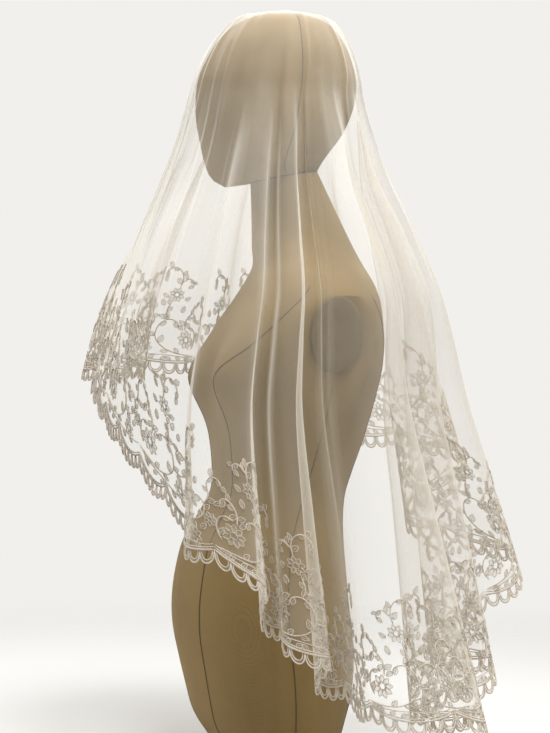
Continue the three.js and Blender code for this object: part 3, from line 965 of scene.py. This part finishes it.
def arm_cut(points):
    """Brings points that stand past an arm's flat cut back onto it."""
    normal = np.array([math.cos(ARM_CUT_LEAN), 0.0, -math.sin(ARM_CUT_LEAN)])
    for side in (1.0, -1.0):
        out = normal * (side, 1.0, 1.0)
        past = (points - (side * ARM_CUT_X, ARM_PLATE_Y, ARM_CUT_Z)) @ out
        past = np.where(points[..., 2] > ARM_CUT_FOOT, past, 0.0)
        points = points - np.maximum(past, 0.0)[..., None] * out
    return points


def form_heights(sections):
    count = int((sections[0, 0] - sections[-1, 0]) / FORM_STEP) + 1
    return np.linspace(sections[0, 0], sections[-1, 0], count)


def make_form_piece(name, sections, bust, pole, material, node):
    """A smooth covered form from its sections, closed at both ends."""
    heights = form_heights(sections)
    heading = np.arange(FORM_COLUMNS) / FORM_COLUMNS * 2 * math.pi
    grid = form_surface(sections, heading[None, :] + 0 * heights[:, None], heights[:, None], bust)
    if bust:
        grid = arm_cut(grid)
    rows = len(heights)
    points = grid.reshape(-1, 3)
    last = (rows - 1) * FORM_COLUMNS
    top = np.asarray(pole, dtype=float) if pole else grid[0].mean(axis=0)
    points = np.concatenate([points, [top], [grid[-1].mean(axis=0)]])
    faces = []
    for row in range(rows - 1):
        faces += ring_faces(row * FORM_COLUMNS, (row + 1) * FORM_COLUMNS, FORM_COLUMNS)
    top_number, bottom_number = len(points) - 2, len(points) - 1
    for column in range(FORM_COLUMNS):
        after = (column + 1) % FORM_COLUMNS
        faces.append((top_number, column, after))
        faces.append((bottom_number, last + after, last + column))
    piece = new_piece(name, points, faces, [material], [node])
    soften_edges(piece)
    return piece


def soften_edges(piece, degrees=40.0):
    """Keeps edges sharper than an angle crisp in the smooth shading."""
    piece.data.set_sharp_from_angle(angle=math.radians(degrees))


def seam_cord(threads, path, outward, radius=0.7, closed=False):
    run = np.arange(len(path), dtype=float)
    threads.cord(path[None], outward[None], run, radius, closed)


SEAM_POINTS = 90
HEAD_SEAM_POINTS = 50
HEAD_SEAM_TURN = 96.0
HEAD_MIDDLE = (0.0, 8.0, 815.0)
NECK_POINTS = 72
SEAM_OUT = 0.1
NECK_SEAM_OUT = 0.2
NECK_SEAM_CORD = 0.9


def make_seams(material):
    """Seams of the form's cover: panels of the body, the head's halves and the neck."""
    threads = Threads()
    for rows in BODY_SEAMS.values():
        rows = np.array(rows, dtype=float)
        at = np.linspace(rows[0, 0], rows[-1, 0], SEAM_POINTS)
        turn = np.radians(from_table(-rows[:, 0], rows[:, 1], -at))
        for side in (1.0, -1.0):
            path = arm_cut(form_surface(BODY_SECTIONS, turn * side, at, True))
            inner = path.copy()
            inner[:, :2] *= 0.9
            outward = unit(path - inner)
            seam_cord(threads, path + outward * SEAM_OUT, outward)
    heights = np.linspace(HEAD_SECTIONS[0, 0], HEAD_SECTIONS[-1, 0], HEAD_SEAM_POINTS)
    for side in (1.0, -1.0):
        turn = np.full(HEAD_SEAM_POINTS, side * math.radians(HEAD_SEAM_TURN))
        path = form_surface(HEAD_SECTIONS, turn, heights, False)
        path = np.concatenate([[[0.0, HEAD_TOP_Y, HEAD_TOP]], path])
        outward = unit(path - HEAD_MIDDLE)
        seam_cord(threads, path + outward * SEAM_OUT, outward)
    turn = np.linspace(0, 2 * math.pi, NECK_POINTS, endpoint=False)
    ring = form_surface(BODY_SECTIONS, turn, np.full(NECK_POINTS, BODY_SECTIONS[0, 0] - 0.5), False)
    outward = np.concatenate([heading_of(turn), np.zeros((NECK_POINTS, 1))], axis=1)
    seam_cord(threads, ring + outward * NECK_SEAM_OUT, outward, NECK_SEAM_CORD, True)
    return new_piece(
        "form_seams",
        np.concatenate(threads.points),
        threads.faces,
        [material],
        [],
        run=np.concatenate(threads.runs),
    )


PLATE_SIDES = 64
PLATE_RINGS = (
    # share of the outline, share of the thickness
    (1.0, 0.0),
    (1.0, 0.55),
    (0.97, 0.85),
    (0.92, 1.0),
    (0.6, 1.0),
    (0.25, 1.0),
)


def make_arm_plate(name, side, material):
    """Oval plate with a rounded rim where an arm would join."""
    turn = np.arange(PLATE_SIDES) / PLATE_SIDES * 2 * math.pi
    out = np.array([side * math.cos(ARM_CUT_LEAN), 0.0, -math.sin(ARM_CUT_LEAN)])
    up = np.array([side * math.sin(ARM_CUT_LEAN), 0.0, math.cos(ARM_CUT_LEAN)])
    deep = np.array([0.0, 1.0, 0.0])
    seat = np.array([side * ARM_CUT_X, ARM_PLATE_Y, ARM_CUT_Z]) + out * SEAM_GAP
    points = []
    faces = []
    for ring, (share, rise) in enumerate(PLATE_RINGS):
        points.append(
            seat
            + out * rise * ARM_PLATE_THICKNESS
            + deep * (share * ARM_PLATE_HALF_DEPTH * np.cos(turn))[:, None]
            + up * (share * ARM_PLATE_HALF_HEIGHT * np.sin(turn))[:, None]
        )
        if ring:
            faces += ring_faces(ring * PLATE_SIDES, (ring - 1) * PLATE_SIDES, PLATE_SIDES)
    points = np.concatenate(points + [[seat + out * ARM_PLATE_THICKNESS, seat]])
    front, rear = len(points) - 2, len(points) - 1
    last = (len(PLATE_RINGS) - 1) * PLATE_SIDES
    for k in range(PLATE_SIDES):
        after = (k + 1) % PLATE_SIDES
        faces.append((front, last + k, last + after))
        faces.append((rear, after, k))
    if side < 0:
        faces = [face[::-1] for face in faces]
    piece = new_piece(name, points, faces, [material], [name.replace("cloth_", "form_")])
    soften_edges(piece)
    return piece


class VeilSizes(bpy.types.PropertyGroup):
    """Sizes of the veil's cut and drape."""

    cut_half_length: FloatProperty(
        name="Cut half length",
        description="Half the oval cut along its long way",
        default=0.742,
        subtype="DISTANCE",
    )
    cut_half_width: FloatProperty(
        name="Cut half width",
        description="Half the oval cut across",
        default=0.64,
        subtype="DISTANCE",
    )
    crown_offset: FloatProperty(
        name="Crown offset",
        description="From the middle of the cut to the point on the crown",
        default=0.208,
        subtype="DISTANCE",
    )
    longest_at: FloatProperty(
        name="Longest side",
        description="Heading of the longest side in degrees from the front",
        default=119.0,
    )
    crest_lift: FloatProperty(
        name="Crest lift",
        description="How far a crest swings up, as a share of how far out",
        default=0.18,
    )
    lace_out: FloatProperty(
        name="Lace height",
        description="How far the cords stand off the net",
        default=0.0012,
        subtype="DISTANCE",
    )
    stretches: IntProperty(name="Lace stretches", description="Stretches of lace round the hem", default=4)


class VeilFinish(bpy.types.PropertyGroup):
    """Colours and textures of the cloths."""

    tulle_colour: FloatVectorProperty(
        name="Tulle", description="Colour of the net", default=(0.93, 0.875, 0.77), subtype="COLOR"
    )
    tulle_cover: FloatProperty(
        name="Tulle cover", description="How much of the view one layer of net hides", default=0.16
    )
    tulle_edge_cover: FloatProperty(
        name="Tulle edge cover", description="How much more it hides seen edge on", default=0.6
    )
    net_pitch: FloatProperty(
        name="Net pitch",
        description="From one hole of the net to the next",
        default=0.0017,
        subtype="DISTANCE",
    )
    lace_colour: FloatVectorProperty(
        name="Lace",
        description="Colour of cords and stitches",
        default=(0.9, 0.8, 0.665),
        subtype="COLOR",
    )
    twist_pitch: FloatProperty(
        name="Cord twist",
        description="Length of one turn of a cord",
        default=0.0016,
        subtype="DISTANCE",
    )
    stitch_pitch: FloatProperty(
        name="Stitch pitch",
        description="From one satin stitch to the next",
        default=0.0009,
        subtype="DISTANCE",
    )
    stitch_cover: FloatProperty(
        name="Stitch cover", description="How much of the view the stitches hide", default=0.32
    )
    cover_colour: FloatVectorProperty(
        name="Form cover",
        description="Colour of the form's cloth",
        default=(0.28, 0.19, 0.075),
        subtype="COLOR",
    )
    # Darker than the form's cover: painted shade for the arm cuts, which lie in shade under the shoulders.
    plate_painted_shade_colour: FloatVectorProperty(
        name="Arm plate",
        description="Colour of the plates' cloth",
        default=(0.19, 0.14, 0.07),
        subtype="COLOR",
    )
    seam_colour: FloatVectorProperty(
        name="Seams",
        description="Colour in the form's seams",
        default=(0.1, 0.07, 0.035),
        subtype="COLOR",
    )
    weave_pitch: FloatProperty(
        name="Weave pitch",
        description="From one thread of the cover to the next",
        default=0.0011,
        subtype="DISTANCE",
    )


class VeilStage(bpy.types.PropertyGroup):
    """Floor, light and camera."""

    floor_colour: FloatVectorProperty(
        name="Floor", description="Colour of the floor", default=(0.72, 0.715, 0.7), subtype="COLOR"
    )
    floor_radius: FloatProperty(
        name="Floor radius",
        description="Where the floor has faded out",
        default=1.6,
        subtype="DISTANCE",
    )
    azimuth: FloatProperty(
        name="Azimuth", description="Camera's heading from the form's front", default=74.0
    )
    distance: FloatProperty(
        name="Distance", description="From the camera to the axis", default=2.4, subtype="DISTANCE"
    )
    height: FloatProperty(
        name="Height", description="Height of the level camera", default=0.4825, subtype="DISTANCE"
    )
    lens: FloatProperty(name="Lens", description="Focal length in millimetres", default=94.3)
    window_light: FloatProperty(name="Window", description="Strength of the light behind", default=0.9)
    room_light: FloatProperty(name="Room", description="Strength of the light in front", default=0.36)
    ground_light: FloatProperty(name="Ground", description="Share of the light from below", default=0.25)


class VEIL_OT_form(bpy.types.Operator):
    """Makes the covered dress form with its seams and arm plates"""

    bl_idname = "veil.form"
    bl_label = "Dress form"

    def execute(self, context):
        finish = context.scene.veil_finish
        cover = cover_material("form_cloth", tuple(finish.cover_colour), finish)
        # The arm plates take the cover's cloth in a darker colour, which is painted shade.
        plate = cover_material("plate_cloth_painted_shade", tuple(finish.plate_painted_shade_colour), finish)
        pole = (0.0, HEAD_TOP_Y, HEAD_TOP)
        make_form_piece("cloth_head", HEAD_SECTIONS, False, pole, cover, "form_head")
        make_form_piece("cloth_body", BODY_SECTIONS, True, None, cover, "form_body")
        make_arm_plate("cloth_arm_plate_left", 1.0, plate)
        make_arm_plate("cloth_arm_plate_right", -1.0, plate)
        make_seams(seam_material(finish))
        return {"FINISHED"}


class VEIL_OT_veil(bpy.types.Operator):
    """Makes the tulle and the lace edge that lies on it"""

    bl_idname = "veil.veil"
    bl_label = "Tulle and lace"

    def execute(self, context):
        veil = context.scene.veil_sizes
        finish = context.scene.veil_finish
        net = make_tulle(veil, tulle_material(finish))
        materials = [thread_material(finish), stitch_material(finish)]
        nodes = ("lace_front", "lace_left", "lace_back", "lace_right")
        each = SCALLOPS // veil.stretches
        lace = [
            make_lace(f"{node}_cords", node, range(i * each, (i + 1) * each), veil, materials)
            for i, node in enumerate(nodes)
        ]
        return {"FINISHED"}


ROOM_COLOUR = (0.98, 0.965, 0.93, 1.0)
# Where the room's light turns into the window's, as a share of the way towards it, and where it dims below.
WINDOW_RISE = 0.1
WINDOW_SPREAD = (-0.35, 0.75)
GROUND_SPREAD = (-0.5, -0.12)
LAMPS_AIM = (0.0, 0.0, 0.5)
LAMPS = (
    # name, place, size, power
    ("window", (-1.3, -1.2, 1.8), 1.2, 26.0),
    ("ceiling", (0.8, 0.3, 2.3), 1.1, 48.0),
)
FLOOR_SIDES = 96
MOST_CLEAR_LAYERS = 64


class VEIL_OT_stage(bpy.types.Operator):
    """Sets the floor, the soft window light and the camera"""

    bl_idname = "veil.stage"
    bl_label = "Floor, light and camera"

    def execute(self, context):
        stage = context.scene.veil_stage
        self.lay_floor(context, stage)
        self.light_room(context, stage)
        self.place_camera(context, stage)
        scene = context.scene
        scene.view_settings.view_transform = "Standard"
        scene.cycles.transparent_max_bounces = MOST_CLEAR_LAYERS
        return {"FINISHED"}

    def lay_floor(self, context, stage):
        turn = np.arange(FLOOR_SIDES) / FLOOR_SIDES * 2 * math.pi
        ring = np.stack([np.cos(turn), np.sin(turn), 0 * turn], axis=-1) * stage.floor_radius
        mesh = bpy.data.meshes.new("floor")
        mesh.from_pydata(ring.tolist(), [], [tuple(range(FLOOR_SIDES))])
        mesh.materials.append(floor_material(stage))
        floor = bpy.data.objects.new("floor", mesh)
        context.scene.collection.objects.link(floor)

    def light_room(self, context, stage):
        recipe = Recipe("window_room", world=True)
        towards = recipe.add("ShaderNodeTexCoord", None, None, "Generated")
        a = math.radians(stage.azimuth)
        window_way = (-math.sin(a), math.cos(a), WINDOW_RISE)
        inputs = {0: towards, 1: window_way}
        behind = recipe.add("ShaderNodeVectorMath", {"operation": "DOT_PRODUCT"}, inputs, "Value")
        spread = stage.room_light + behind.between(*WINDOW_SPREAD) * (stage.window_light - stage.room_light)
        _, _, up = recipe.parts(towards)
        ground = stage.ground_light + up.between(*GROUND_SPREAD, "LINEAR") * (1 - stage.ground_light)
        context.scene.world = recipe.surface(Color=ROOM_COLOUR, Strength=spread * ground)
        for lamp in LAMPS:
            self.add_lamp(context, *lamp)

    def add_lamp(self, context, name, place, size, power):
        data = bpy.data.lights.new(name, "AREA")
        data.shape = "DISK"
        data.size = size
        data.energy = power
        lamp = bpy.data.objects.new(name, data)
        lamp.location = place
        towards = Vector(LAMPS_AIM) - lamp.location
        lamp.rotation_euler = towards.to_track_quat("-Z", "Y").to_euler()
        context.scene.collection.objects.link(lamp)

    def place_camera(self, context, stage):
        data = bpy.data.cameras.new("camera")
        data.lens = stage.lens
        camera = bpy.data.objects.new("camera", data)
        a = math.radians(stage.azimuth)
        back = Vector((math.sin(a), -math.cos(a), 0.0))
        camera.location = back * stage.distance + Vector((0.0, 0.0, stage.height))
        camera.rotation_euler = (-back).to_track_quat("-Z", "Y").to_euler()
        context.scene.collection.objects.link(camera)
        context.scene.camera = camera


class VEIL_PT_panel(bpy.types.Panel):
    """Lists the pieces that can be made"""

    bl_label = "Veil"
    bl_idname = "VEIL_PT_panel"
    bl_space_type = "VIEW_3D"
    bl_region_type = "UI"
    bl_category = "Veil"

    def draw(self, context):
        for group in ("veil_sizes", "veil_finish", "veil_stage"):
            values = getattr(context.scene, group)
            box = self.layout.box()
            for name in values.__annotations__:
                box.prop(values, name)
        for operator in (VEIL_OT_form, VEIL_OT_veil, VEIL_OT_stage):
            self.layout.operator(operator.bl_idname)


GROUPS = {"veil_sizes": VeilSizes, "veil_finish": VeilFinish, "veil_stage": VeilStage}
CLASSES = (*GROUPS.values(), VEIL_OT_form, VEIL_OT_veil, VEIL_OT_stage, VEIL_PT_panel)


def register():
    for item in CLASSES:
        bpy.utils.register_class(item)
    for name, group in GROUPS.items():
        setattr(bpy.types.Scene, name, PointerProperty(type=group))


def unregister():
    for name in GROUPS:
        delattr(bpy.types.Scene, name)
    for item in reversed(CLASSES):
        bpy.utils.unregister_class(item)


def main():
    register()
    bpy.ops.veil.form()
    bpy.ops.veil.veil()
    bpy.ops.veil.stage()


if __name__ == "__main__":
    main()
